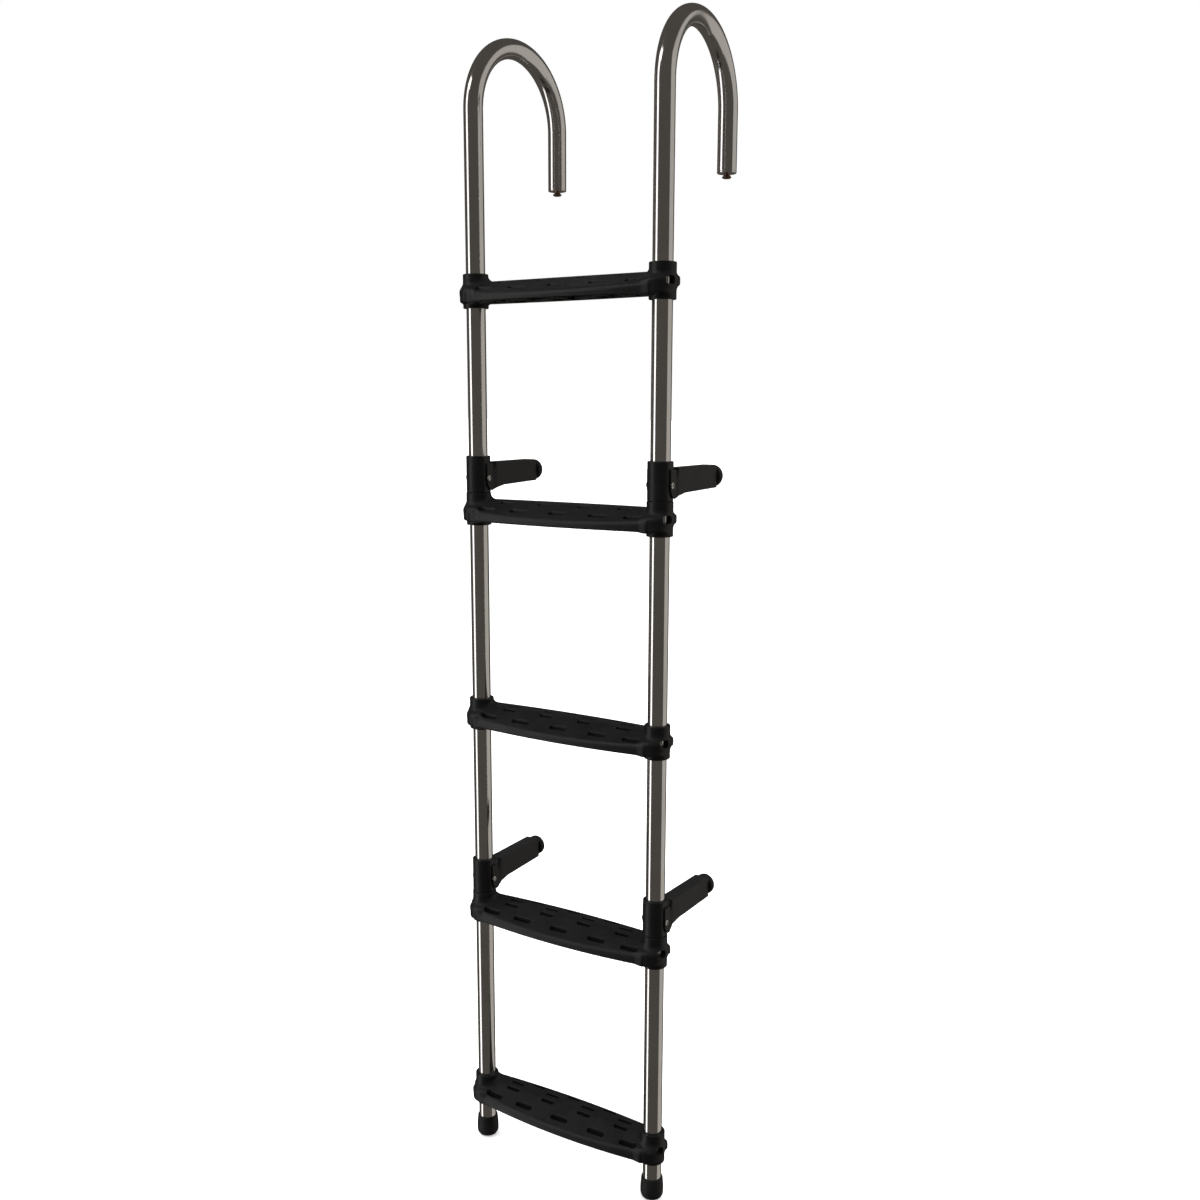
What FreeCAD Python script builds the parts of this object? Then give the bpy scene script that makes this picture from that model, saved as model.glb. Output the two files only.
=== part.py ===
import FreeCAD
import Part
import math
import os
from FreeCAD import Vector, Rotation, Placement

# Hook-on boarding ladder.  Millimetres, +Z up, +X to the ladder's right,
# +Y from the climber towards the boat.  The origin is midway between the two
# hooks, at the inner crown where they bear on the gunwale.
#
# Working heights are counted from the underside of the feet; the sheet cell
# seat_height moves them into the frame above.

doc = FreeCAD.newDocument("BoardingLadder")

# ---------------------------------------------------------------- dimensions
sheet = doc.addObject("Spreadsheet::Sheet", "Sizes")
CELLS = [
    ("rail_dia", 25.0), ("rail_wall", 1.5), ("rail_span", 276.0),
    ("rail_base", 5.0), ("hook_radius", 89.5), ("hook_toe", 2.5),
    ("bend_height", 1417.5), ("hook_leg", 72.5), ("seat_height", 1494.5),
    ("tread_first", 76.0), ("tread_pitch", 280.0),
    ("collar_dia", 33.0), ("collar_tall", 43.0), ("bore_play", 0.05),
    ("body_low", 15.4), ("body_top", 12.2), ("body_back", 25.0),
    ("body_front", 34.5), ("front_arc", 960.0), ("back_arc", 1470.0),
    ("slope_start", 2.0), ("nose_slope", 27.1), ("skin", 3.0), ("rib", 2.5),
    ("boss_reach", 20.8), ("boss_base_dia", 17.0), ("boss_face_dia", 9.5),
    ("boss_turn", 32.0),
    ("cap_dia", 39.0), ("cap_in", 3.0), ("cap_forward", 5.8), ("cap_top", 3.5),
    ("window_wide", 13.0), ("window_tall", 9.5), ("window_turn", 32.0),
    ("slot_long", 21.0), ("slot_wall", 2.0), ("nose_slot_long", 27.0),
    ("slot_pitch", 59.7), ("nose_slot_outer", 111.0),
    ("row_back", 19.0), ("row_mid_back", 9.7), ("row_mid_front", -2.5),
    ("row_nose", -19.0),
    ("row_back_wide", 4.0), ("row_mid_back_wide", 5.0),
    ("row_mid_front_wide", 4.5), ("row_nose_wide", 6.5),
    ("sleeve_dia", 32.0), ("sleeve_tall", 48.0), ("sleeve_flat", 30.0),
    ("sleeve_gap", 0.2), ("pin_rise", 19.0), ("splay", 1.6),
    ("cheek_in", 30.6), ("cheek_out", 34.6), ("arm_top", 20.0),
    ("arm_wide", 20.0), ("arm_reach", 127.0),
    ("pad_dia", 28.0), ("pad_thick", 9.0), ("pad_crown", 3.0),
    ("pad_height", 5.2), ("stem_dia", 8.0), ("stem_long", 12.0),
    ("pivot_dia", 5.0), ("pivot_head", 8.0), ("pivot_head_tall", 1.2),
    ("tread_screw_dia", 4.2), ("tread_screw_head", 6.6),
    ("foot_dia", 31.0), ("foot_lip_dia", 28.4), ("foot_tall", 30.0),
    ("plug_rim", 2.5), ("plug_long", 14.0),
    ("stud_head", 12.0),
]
for i, (alias, value) in enumerate(CELLS):
    cell = "A%d" % (i + 1)
    sheet.set(cell, repr(value))
    sheet.setAlias(cell, alias)
doc.recompute()
V = dict(CELLS)
S = "Sizes."


def bind(obj, **exprs):
    """Tie properties to the sheet; double underscores stand for dots."""
    for key, expr in exprs.items():
        obj.setExpression(key.replace("__", "."), expr)
    return obj


def box(name, length, width, height, x, y, z):
    b = doc.addObject("Part::Box", name)
    bind(b, Length=length, Width=width, Height=height)
    b.setExpression("Placement.Base.x", x)
    b.setExpression("Placement.Base.y", y)
    b.setExpression("Placement.Base.z", z)
    return b


def cyl(name, radius, height, x="0 mm", y="0 mm", z="0 mm", rot=None):
    c = doc.addObject("Part::Cylinder", name)
    if rot is not None:
        c.Placement = Placement(Vector(0, 0, 0), rot)
    bind(c, Radius=radius, Height=height)
    c.setExpression("Placement.Base.x", x)
    c.setExpression("Placement.Base.y", y)
    c.setExpression("Placement.Base.z", z)
    return c


def fuse(name, shapes):
    f = doc.addObject("Part::MultiFuse", name)
    f.Shapes = shapes
    return f


def common(name, shapes):
    f = doc.addObject("Part::MultiCommon", name)
    f.Shapes = shapes
    return f


def cut(name, base, tool):
    c = doc.addObject("Part::Cut", name)
    c.Base = base
    c.Tool = tool
    return c


def fillet(name, base, picks):
    """picks: list of (test on an edge's middle point, radius)."""
    doc.recompute()
    edges = []
    for i, e in enumerate(base.Shape.Edges):
        try:
            p = e.valueAt((e.FirstParameter + e.LastParameter) / 2.0)
        except Exception:
            continue
        for test, radius in picks:
            if test(p, e):
                edges.append((i + 1, radius, radius))
                break
    f = doc.addObject("Part::Fillet", name)
    f.Base = base
    f.Edges = edges
    doc.recompute()
    return f


def place(obj, label, x, y, z, turn=None):
    """Name a finished sub-part and move it into the ladder."""
    obj.Label = label
    if turn is not None:
        obj.Placement = Placement(Vector(0, 0, 0), Rotation(Vector(0, 0, 1), turn))
    obj.setExpression("Placement.Base.x", x)
    obj.setExpression("Placement.Base.y", y)
    obj.setExpression("Placement.Base.z", z)
    PARTS.append(obj)
    return obj


def plane_of(body, role):
    for f in body.Origin.OriginFeatures:
        if f.Role == role:
            return f
    raise RuntimeError(role)


def sketch_on(body, role, name):
    s = body.newObject("Sketcher::SketchObject", name)
    s.AttachmentSupport = [(plane_of(body, role), "")]
    s.MapMode = "FlatFace"
    return s


def outline(s, points):
    """Closed outline; points are (x expression, y expression, x, y)."""
    import Sketcher
    n = len(points)
    for i in range(n):
        a, b = points[i], points[(i + 1) % n]
        s.addGeometry(Part.LineSegment(Vector(a[2], a[3], 0), Vector(b[2], b[3], 0)), False)
    for i in range(n):
        s.addConstraint(Sketcher.Constraint("Coincident", i, 2, (i + 1) % n, 1))
    for i, (ex, ey, x, y) in enumerate(points):
        for axis, ref, expr, value in (("DistanceX", -2, ex, x), ("DistanceY", -1, ey, y)):
            if abs(value) < 1e-9:
                s.addConstraint(Sketcher.Constraint("PointOnObject", i, 1, ref))
            elif value > 0:
                k = s.addConstraint(Sketcher.Constraint(axis, -1, 1, i, 1, value))
                s.setExpression("Constraints[%d]" % k, expr)
            else:
                k = s.addConstraint(Sketcher.Constraint(axis, i, 1, -1, 1, -value))
                s.setExpression("Constraints[%d]" % k, "-(" + expr + ")")
    return s


def ev(expr):
    """Value of a size expression, for a sketch's first drawing."""
    scope = sorted(V, key=len, reverse=True)
    text = expr
    for name in scope:
        text = text.replace(S + name, repr(V[name]))
    text = text.replace(" mm", "")
    total = 0.0
    for term in text.replace("-", "+-").split("+"):
        term = term.strip()
        if not term:
            continue
        sign = 1.0
        if term.startswith("-"):
            sign, term = -1.0, term[1:].strip()
        product = 1.0
        for j, part in enumerate(term.split("*")):
            bits = part.split("/")
            value = float(bits[0])
            for b in bits[1:]:
                value /= float(b)
            product *= value
        total += sign * product
    return total


def pts(pairs):
    return [(a, b, ev(a), ev(b)) for a, b in pairs]


def turned(name, profile, role="XZ_Plane"):
    """Body of revolution about Z from (radius, height) expressions."""
    body = doc.addObject("PartDesign::Body", name)
    s = sketch_on(body, role, name + "_profile")
    outline(s, pts(profile))
    r = body.newObject("PartDesign::Revolution", name + "_turn")
    r.Profile = s
    r.ReferenceAxis = (s, ["V_Axis"])
    r.Angle = 360.0
    doc.recompute()
    body.Tip = r
    return body


PARTS = []
HALF = S + "rail_span/2"
TOE = "cos(" + S + "hook_toe * 1 deg)"
BACK = "-" + S + "hook_radius * " + TOE
ZERO = "0 mm"
R_RAIL = S + "rail_dia/2"


def zrow(expr):
    return expr + " - " + S + "seat_height"


ROT_X = Rotation(Vector(0, 1, 0), 90)      # cylinder along +X
ROT_Y = Rotation(Vector(1, 0, 0), -90)     # cylinder along +Y


def radial(deg):
    """Turn +Z into the horizontal direction at this azimuth."""
    return Rotation(Vector(0, 0, 1), deg).multiply(Rotation(Vector(0, 1, 0), 90))


def side_turn(sign):
    """Azimuth of the fixing screw's boss on this side."""
    return V["boss_turn"] if sign > 0 else 180.0 - V["boss_turn"]


def tread_mid(i):
    """Height expression of tread i, 1 at the top and 5 at the bottom."""
    return S + "tread_first + %d*" % (5 - i) + S + "tread_pitch"


STAND = [("upper", 2), ("lower", 4)]
SIDES = [("left", -1), ("right", 1)]


def pin_height(i):
    return tread_mid(i) + " + " + S + "collar_tall/2 + " + S + "sleeve_gap + " + S + "pin_rise"


# --------------------------------------------------------------------- rails
# Polished tube: straight rail, half-circle hook, short outer leg.  The two
# hooks are turned slightly towards each other.
def rail(side, sign):
    import Sketcher
    body = doc.addObject("PartDesign::Body", "Tube_" + side)
    path = sketch_on(body, "YZ_Plane", "TubePath_" + side)
    top = V["bend_height"] - V["rail_base"]
    rh = V["hook_radius"]
    leg = V["hook_leg"]
    path.addGeometry(Part.LineSegment(Vector(0, 0, 0), Vector(0, top, 0)), False)
    arc = Part.ArcOfCircle(Part.Circle(Vector(rh, top, 0), Vector(0, 0, 1), rh), 0, math.pi)
    path.addGeometry(arc, False)
    path.addGeometry(Part.LineSegment(Vector(2 * rh, top, 0), Vector(2 * rh, top - leg, 0)), False)
    path.addConstraint(Sketcher.Constraint("Coincident", 0, 1, -1, 1))
    path.addConstraint(Sketcher.Constraint("Vertical", 0))
    path.addConstraint(Sketcher.Constraint("Tangent", 0, 2, 1, 2))
    path.addConstraint(Sketcher.Constraint("Tangent", 1, 1, 2, 1))
    path.addConstraint(Sketcher.Constraint("Vertical", 2))
    k = path.addConstraint(Sketcher.Constraint("DistanceY", 0, 1, 0, 2, top))
    path.setExpression("Constraints[%d]" % k, S + "bend_height - " + S + "rail_base")
    k = path.addConstraint(Sketcher.Constraint("Radius", 1, rh))
    path.setExpression("Constraints[%d]" % k, S + "hook_radius")
    k = path.addConstraint(Sketcher.Constraint("DistanceY", 2, 2, 2, 1, leg))
    path.setExpression("Constraints[%d]" % k, S + "hook_leg")
    prof = sketch_on(body, "XY_Plane", "TubeSection_" + side)
    ro = V["rail_dia"] / 2
    ri = ro - V["rail_wall"]
    prof.addGeometry(Part.Circle(Vector(0, 0, 0), Vector(0, 0, 1), ro), False)
    prof.addGeometry(Part.Circle(Vector(0, 0, 0), Vector(0, 0, 1), ri), False)
    for g, val, expr in ((0, ro, S + "rail_dia/2"), (1, ri, S + "rail_dia/2 - " + S + "rail_wall")):
        prof.addConstraint(Sketcher.Constraint("Coincident", g, 3, -1, 1))
        k = prof.addConstraint(Sketcher.Constraint("Radius", g, val))
        prof.setExpression("Constraints[%d]" % k, expr)
    doc.recompute()
    pipe = body.newObject("PartDesign::AdditivePipe", "Tube_sweep_" + side)
    pipe.Profile = prof
    pipe.Spine = (path, ["Edge1", "Edge2", "Edge3"])
    doc.recompute()
    body.Tip = pipe
    # holes for the tread screws (back wall) and the stand-off pivots (across)
    tools = []
    for i in range(1, 6):
        c = cyl("TreadHole_%s_%d" % (side, i), S + "tread_screw_dia/2 + " + S + "bore_play", "8 mm",
                ZERO, ZERO, tread_mid(i) + " - " + S + "rail_base",
                radial(side_turn(sign) - sign * V["hook_toe"]))
        away = "((%sboss_turn - %shook_toe) * 1 deg)" % (S, S)
        c.setExpression("Placement.Base.x", "(%d) * 7 * cos%s" % (sign, away))
        c.setExpression("Placement.Base.y", "7 * sin%s" % away)
        tools.append(c)
    for lev, i in STAND:
        swing = "((%ssplay + %shook_toe) * 1 deg)" % (S, S)
        turn = Rotation(Vector(0, 0, 1), -sign * (V["splay"] + V["hook_toe"])).multiply(ROT_X)
        c = cyl("PivotHole_%s_%s" % (side, lev),
                S + "pivot_dia/2 + " + S + "bore_play", "40 mm",
                "-20 mm * cos" + swing,
                ("" if sign > 0 else "-") + "20 mm * sin" + swing,
                pin_height(i) + " - " + S + "rail_base", turn)
        tools.append(c)
    holes = fuse("RailHoles_" + side, tools)
    r = cut("Rail_" + side, body, holes)
    place(r, side + "_rail", ("-" if sign < 0 else "") + HALF, BACK, zrow(S + "rail_base"),
          sign * V["hook_toe"])


for side, sign in SIDES:
    rail(side, sign)

# -------------------------------------------------------------------- treads
# Moulded step: ribbed body whose top is level at the back and slopes down to
# a rounded nose, with drain slots, and a collar at each end with a rounded
# cap in front, a sight window and a tapered boss for the fixing screw.
def stadium(name, x, y, length, width, tall, low):
    """Upright slot shape, long side along X, from expressions."""
    mid = box(name + "m", length + " - (" + width + ")", width, tall,
              x + " - (" + length + ")/2 + (" + width + ")/2", y + " - (" + width + ")/2", low)
    e1 = cyl(name + "a", "(" + width + ")/2", tall, x + " - (" + length + ")/2 + (" + width + ")/2", y, low)
    e2 = cyl(name + "b", "(" + width + ")/2", tall, x + " + (" + length + ")/2 - (" + width + ")/2", y, low)
    return fuse(name, [mid, e1, e2])


def slope_lid(name, down):
    """Everything above the sloping front half of the top, lowered by down."""
    lid = doc.addObject("Part::Box", name)
    lid.Placement = Placement(Vector(0, 0, 0), Rotation(Vector(1, 0, 0), V["nose_slope"]))
    bind(lid, Length=S + "rail_span + 20", Width="120 mm", Height="60 mm")
    lid.setExpression("Placement.Base.x", "-" + HALF + " - 10")
    lid.setExpression("Placement.Base.y", "%sslope_start - 70 * cos(%snose_slope * 1 deg)" % (S, S))
    lid.setExpression("Placement.Base.z", "%sbody_top - 70 * sin(%snose_slope * 1 deg) - (%s)" % (S, S, down))
    return lid



def tread(i):
    n = "T%d_" % i
    half = HALF
    low = "-" + S + "body_low"
    slab = box(n + "slab", S + "rail_span - 10", "120 mm", S + "body_low + " + S + "body_top",
               "-" + half + " + 5", "-60 mm", low)
    front = cyl(n + "front", S + "front_arc", "60 mm", ZERO,
                "-" + S + "body_front + " + S + "front_arc", "-30 mm")
    back = cyl(n + "back", S + "back_arc", "60 mm", ZERO,
               S + "body_back - " + S + "back_arc", "-30 mm")
    plan = common(n + "plan", [slab, front, back])
    body = cut(n + "body", plan, slope_lid(n + "lid", "0"))
    soft = fillet(n + "soft", body, [
        (lambda p, e: abs(p.y - V["slope_start"]) < 1.0 and p.z > 8 and abs(p.x) < 5, 14.0),
        (lambda p, e: p.y < -30 and -12 < p.z < -2 and abs(p.x) < 5, 7.0),
        (lambda p, e: p.y < -30 and p.z < -14 and abs(p.x) < 5, 3.5),
        (lambda p, e: p.y > 20 and p.z > 5 and abs(p.x) < 5, 2.5),
        (lambda p, e: p.y > 20 and p.z < -10 and abs(p.x) < 5, 2.0)])
    adds = [soft]
    for side, sign in SIDES:
        sx = ("-" if sign < 0 else "") + half
        collar = cyl(n + "collar_" + side, S + "collar_dia/2", S + "collar_tall",
                     sx, ZERO, "-" + S + "collar_tall/2")
        collar = fillet(n + "collar_soft_" + side, collar, [
            (lambda p, e: len(e.Vertexes) == 1 and abs(abs(p.z) - V["collar_tall"] / 2) < 1e-3, 1.0)])
        boss = doc.addObject("Part::Cone", n + "boss_" + side)
        boss.Placement = Placement(Vector(0, 0, 0), radial(side_turn(sign)))
        bind(boss, Radius1=S + "boss_base_dia/2 + 1.9", Radius2=S + "boss_face_dia/2",
             Height=S + "boss_reach - 14")
        boss.setExpression("Placement.Base.x", sx + " + (%d) * 14 * cos(%s * 1 deg)" % (sign, S + "boss_turn"))
        boss.setExpression("Placement.Base.y", "14 * sin(%s * 1 deg)" % (S + "boss_turn"))
        boss = fillet(n + "boss_soft_" + side, boss, [
            (lambda p, e: len(e.Vertexes) == 1 and math.hypot(abs(p.x) - V["rail_span"] / 2, p.y) > 18.5, 1.2)])
        cap = cyl(n + "cap_" + side, S + "cap_dia/2", S + "body_low + " + S + "cap_top",
                  sx + " - (%d) * %scap_in" % (sign, S), "-" + S + "cap_forward", low)
        cap = fillet(n + "cap_soft_" + side, cap, [
            (lambda p, e: len(e.Vertexes) == 1 and p.z > 0, 5.0),
            (lambda p, e: len(e.Vertexes) == 1 and p.z < -10, 3.0)])
        adds += [collar, boss, cap]
    whole = fuse(n + "whole", adds)
    # underside cells
    inner = box(n + "in_slab", S + "rail_span - 50", "120 mm", "60 mm",
                "-" + half + " + 25", "-60 mm", low + " - 5")
    ifront = cyl(n + "in_front", S + "front_arc - " + S + "skin", "80 mm", ZERO,
                 "-" + S + "body_front + " + S + "front_arc", "-40 mm")
    iback = cyl(n + "in_back", S + "back_arc - " + S + "skin", "80 mm", ZERO,
                S + "body_back - " + S + "back_arc", "-40 mm")
    iplan = common(n + "in_plan", [inner, ifront, iback])
    roof = box(n + "in_roof", S + "rail_span", "120 mm", "30 mm",
               "-" + half, "-60 mm", S + "body_top - " + S + "skin")
    cells = [slope_lid(n + "in_lid", "1.25 * " + S + "skin"), roof]
    for k in range(-2, 3):
        cells.append(box(n + "rib_%d" % (k + 2), S + "rib", "120 mm", "80 mm",
                         "%d * " % k + S + "slot_pitch * 0.75 - " + S + "rib/2", "-60 mm", "-40 mm"))
    # drain slots, each with its own wall down through the cells
    rows = [(S + "row_back", (-1, 0, 1), "row_back_wide", "slot_long"),
            (S + "row_mid_back", (-1.5, -0.5, 0.5, 1.5), "row_mid_back_wide", "slot_long"),
            (S + "row_mid_front", (-1.5, -0.5, 0.5, 1.5), "row_mid_front_wide", "slot_long"),
            (S + "row_nose", (-1, 0, 1), "row_nose_wide", "nose_slot_long"),
            (S + "row_nose", ("-", ""), "row_nose_wide", "nose_slot_long")]
    slots = []
    for r, (ry, cols, wide, long_) in enumerate(rows):
        for c, col in enumerate(cols):
            cx = (col + S + "nose_slot_outer") if isinstance(col, str) else "%s * " % col + S + "slot_pitch"
            t = "%s%d_%d" % (n + "slot", r, c)
            slots.append(stadium(t, cx, ry, S + long_, S + wide, "60 mm", "-30 mm"))
            cells.append(stadium(t + "w", cx, ry, S + long_ + " + 2*" + S + "slot_wall",
                                 S + wide + " + 2*" + S + "slot_wall", "60 mm", "-30 mm"))
    cavity = cut(n + "cavity", iplan, fuse(n + "ribs", cells))
    cuts = [cavity] + slots
    # bores, windows and screw seats
    for side, sign in SIDES:
        sx = ("-" if sign < 0 else "") + half
        cuts.append(cyl(n + "bore_" + side, R_RAIL + " + " + S + "bore_play",
                        S + "collar_tall + 10", sx, ZERO, "-" + S + "collar_tall/2 - 5"))
        w = doc.addObject("Part::Box", n + "window_" + side)
        ang = -V["window_turn"] if sign > 0 else 180 + V["window_turn"]
        w.Placement = Placement(Vector(0, 0, 0), Rotation(Vector(0, 0, 1), ang))
        bind(w, Length="20 mm", Width=S + "window_wide", Height=S + "window_tall")
        turn = "(%s%s * 1 deg%s)" % ("-" if sign > 0 else "180 deg + ", S + "window_turn", "")
        w.setExpression("Placement.Base.x", sx + " + 8 * cos(%s) + %swindow_wide / 2 * sin(%s)" % (turn, S, turn))
        w.setExpression("Placement.Base.y", "8 * sin(%s) - %swindow_wide / 2 * cos(%s)" % (turn, S, turn))
        w.setExpression("Placement.Base.z", "-" + S + "window_tall/2")
        wf = fillet(n + "window_soft_" + side, w, [
            (lambda p, e: abs(e.Length - 20.0) < 1e-3, 3.0)])
        cuts.append(wf)
        for what, rad, inner, length in (("seat", "tread_screw_head/2 + 0.3", 18.3, 6.0),
                                         ("shaft", "tread_screw_dia/2 + 0.05", 10.0, 12.0)):
            c = cyl(n + what + "_" + side, S + rad, "%s mm" % length, rot=radial(side_turn(sign)))
            c.setExpression("Placement.Base.x", sx + " + (%d) * %s * cos(%s * 1 deg)" % (sign, inner, S + "boss_turn"))
            c.setExpression("Placement.Base.y", "%s * sin(%s * 1 deg)" % (inner, S + "boss_turn"))
            cuts.append(c)
    t = cut("Tread_%d" % i, whole, fuse(n + "cuts", cuts))
    place(t, "tread_%d" % i, ZERO, BACK, zrow(tread_mid(i)))


for i in range(1, 6):
    tread(i)

# -------------------------------------------------------------- tread screws
# One screw in the boss of each collar, through the rail's outer wall.
screws = []
for i in range(1, 6):
    for side, sign in SIDES:
        n = "TS%d_%s_" % (i, side)
        sx = ("-" if sign < 0 else "") + HALF
        z = tread_mid(i)
        phi = S + "boss_turn"
        head = doc.addObject("Part::Cylinder", n + "head")
        head.Placement = Placement(Vector(0, 0, 0), radial(side_turn(sign)))
        bind(head, Radius=S + "tread_screw_head/2", Height="1.7 mm")
        shank = doc.addObject("Part::Cylinder", n + "shank")
        shank.Placement = Placement(Vector(0, 0, 0), radial(side_turn(sign)))
        bind(shank, Radius=S + "tread_screw_dia/2", Height="9.9 mm")
        for c, inner in ((head, "18.35"), (shank, "9")):
            c.setExpression("Placement.Base.x", sx + " + (%d) * %s * cos(%s * 1 deg)" % (sign, inner, phi))
            c.setExpression("Placement.Base.y", "%s * sin(%s * 1 deg)" % (inner, phi))
            c.setExpression("Placement.Base.z", z)
        head = fillet(n + "dome", head, [
            (lambda p, e: len(e.Vertexes) == 1 and math.hypot(abs(p.x) - V["rail_span"] / 2, p.y) > 19.5, 0.9)])
        screws.append(fuse(n + "screw", [head, shank]))
group = doc.addObject("Part::Compound", "TreadScrews")
group.Links = screws
place(group, "tread_screws", ZERO, BACK, "-" + S + "seat_height")

# ------------------------------------------------------------ stand-off sets
# Each set: a sleeve on the rail with two side flats, an arm whose fork
# straddles the flats, a pivot screw in each cheek and a rubber end pad.
def standoff(lev, i, side, sign):
    n = "%s_%s_" % (lev, side)
    tag = lev + "_" + side
    sx = ("-" if sign < 0 else "") + HALF
    zp = zrow(pin_height(i))
    turn = -sign * V["splay"]

    # sleeve
    tube = cyl(n + "tube", S + "sleeve_dia/2", S + "sleeve_tall", ZERO, ZERO, "-" + S + "pin_rise")
    tube = fillet(n + "tube_soft", tube, [
        (lambda p, e: len(e.Vertexes) == 1, 1.0)])
    tools = [cyl(n + "tube_bore", R_RAIL + " + " + S + "bore_play", S + "sleeve_tall + 10",
                 ZERO, ZERO, "-" + S + "pin_rise - 5")]
    tools.append(box(n + "flat_a", "10 mm", "60 mm", S + "sleeve_tall + 10",
                     S + "sleeve_flat/2", "-30 mm", "-" + S + "pin_rise - 5"))
    tools.append(box(n + "flat_b", "10 mm", "60 mm", S + "sleeve_tall + 10",
                     "-" + S + "sleeve_flat/2 - 10", "-30 mm", "-" + S + "pin_rise - 5"))
    tools.append(cyl(n + "cross", S + "pivot_dia/2 + " + S + "bore_play", "60 mm", "-30 mm", ZERO, ZERO, ROT_X))
    sl = cut(n + "Sleeve", tube, fuse(n + "tube_tools", tools))
    place(sl, "standoff_sleeve_" + tag, sx, BACK, zp, turn)

    # arm: side view swept across the fork, then narrowed in plan
    arm = doc.addObject("PartDesign::Body", n + "ArmSide")
    s = sketch_on(arm, "YZ_Plane", n + "arm_side")
    top = S + "arm_top"
    outline(s, pts([("-4.3", top), ("-4.3", "-6.0"), ("-2.4", "-10.6"), ("2.2", "-16.0"),
                    ("8.7", "-16.5"), ("27.0", "-15.0"), ("47.0", "-11.5"),
                    (S + "arm_reach", "-9.5"), (S + "arm_reach", top + " - 4.0"),
                    (S + "arm_reach - 4.0", top)]))
    p = arm.newObject("PartDesign::Pad", n + "arm_pad")
    p.Profile = s
    p.Midplane = True
    p.setExpression("Length", S + "cheek_out")
    doc.recompute()
    arm.Tip = p
    plan = doc.addObject("PartDesign::Body", n + "ArmPlan")
    s2 = sketch_on(plan, "XY_Plane", n + "arm_plan")
    co, aw = S + "cheek_out/2", S + "arm_wide/2"
    outline(s2, pts([(co, "-8.0"), (co, "8.7"), (aw, "29.0"), (aw, S + "arm_reach + 5.0"),
                     ("-" + aw, S + "arm_reach + 5.0"), ("-" + aw, "29.0"),
                     ("-" + co, "8.7"), ("-" + co, "-8.0")]))
    p2 = plan.newObject("PartDesign::Pad", n + "plan_pad")
    p2.Profile = s2
    p2.Midplane = True
    p2.Length = 80.0
    doc.recompute()
    plan.Tip = p2
    blank = common(n + "arm_blank", [arm, plan])
    soft = fillet(n + "arm_soft", blank, [
        (lambda p, e: p.y > 40 and abs(abs(p.x) - V["arm_wide"] / 2) < 1e-3 and abs(p.z) > 5 and e.Length > 60, 2.2),
        (lambda p, e: p.y > V["arm_reach"] - 8 and abs(abs(p.x) - V["arm_wide"] / 2) < 1e-3, 1.4)])
    # space for the sleeve and the rail through the whole lift
    gaps = [box(n + "slot_flat", S + "cheek_in", "24 mm", "80 mm", "-" + S + "cheek_in/2", "-12 mm", "-40 mm")]
    for k, lift in enumerate((0, 8, 16, 24, 30)):
        c = doc.addObject("Part::Cylinder", n + "room_%d" % k)
        a = math.radians(lift)
        low, high = 30.0, V["sleeve_tall"] - V["pin_rise"] + 1.0
        c.Placement = Placement(Vector(0, -low * math.sin(a), -low * math.cos(a)),
                                Rotation(Vector(1, 0, 0), -lift))
        c.setExpression("Radius", S + "sleeve_dia/2 + 0.6")
        c.Height = low + high
        gaps.append(c)
        b = doc.addObject("Part::Cylinder", n + "rail_room_%d" % k)
        b.Placement = Placement(Vector(0, 0, 0), Rotation(Vector(1, 0, 0), -lift))
        b.setExpression("Radius", S + "rail_dia/2 + 0.8")
        b.Height = 120.0
        gaps.append(b)
    gaps.append(cyl(n + "arm_cross", S + "pivot_dia/2 + " + S + "bore_play", "60 mm", "-30 mm", ZERO, ZERO, ROT_X))
    gaps.append(cyl(n + "arm_stem", S + "stem_dia/2 + " + S + "bore_play", "30 mm",
                    ZERO, S + "arm_reach - " + S + "stem_long - 0.5", S + "pad_height", ROT_Y))
    a = cut(n + "Arm", soft, fuse(n + "arm_gaps", gaps))
    place(a, "standoff_arm_" + tag, sx, BACK, zp, turn)

    # rubber pad with a stem pressed into the arm's end
    disc = cyl(n + "disc", S + "pad_dia/2", S + "pad_thick + " + S + "pad_crown",
               ZERO, S + "arm_reach + 0.05", S + "pad_height", ROT_Y)
    disc = fillet(n + "disc_soft", disc, [
        (lambda p, e: len(e.Vertexes) == 1 and p.y > V["arm_reach"] + 8, 4.0),
        (lambda p, e: len(e.Vertexes) == 1 and p.y < V["arm_reach"] + 2, 0.8)])
    stem = cyl(n + "stem", S + "stem_dia/2", S + "stem_long + 2", ZERO,
               S + "arm_reach - " + S + "stem_long", S + "pad_height", ROT_Y)
    pad = fuse(n + "Pad", [disc, stem])
    place(pad, "bumper_pad_" + tag, sx, BACK, zp, turn)

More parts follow.
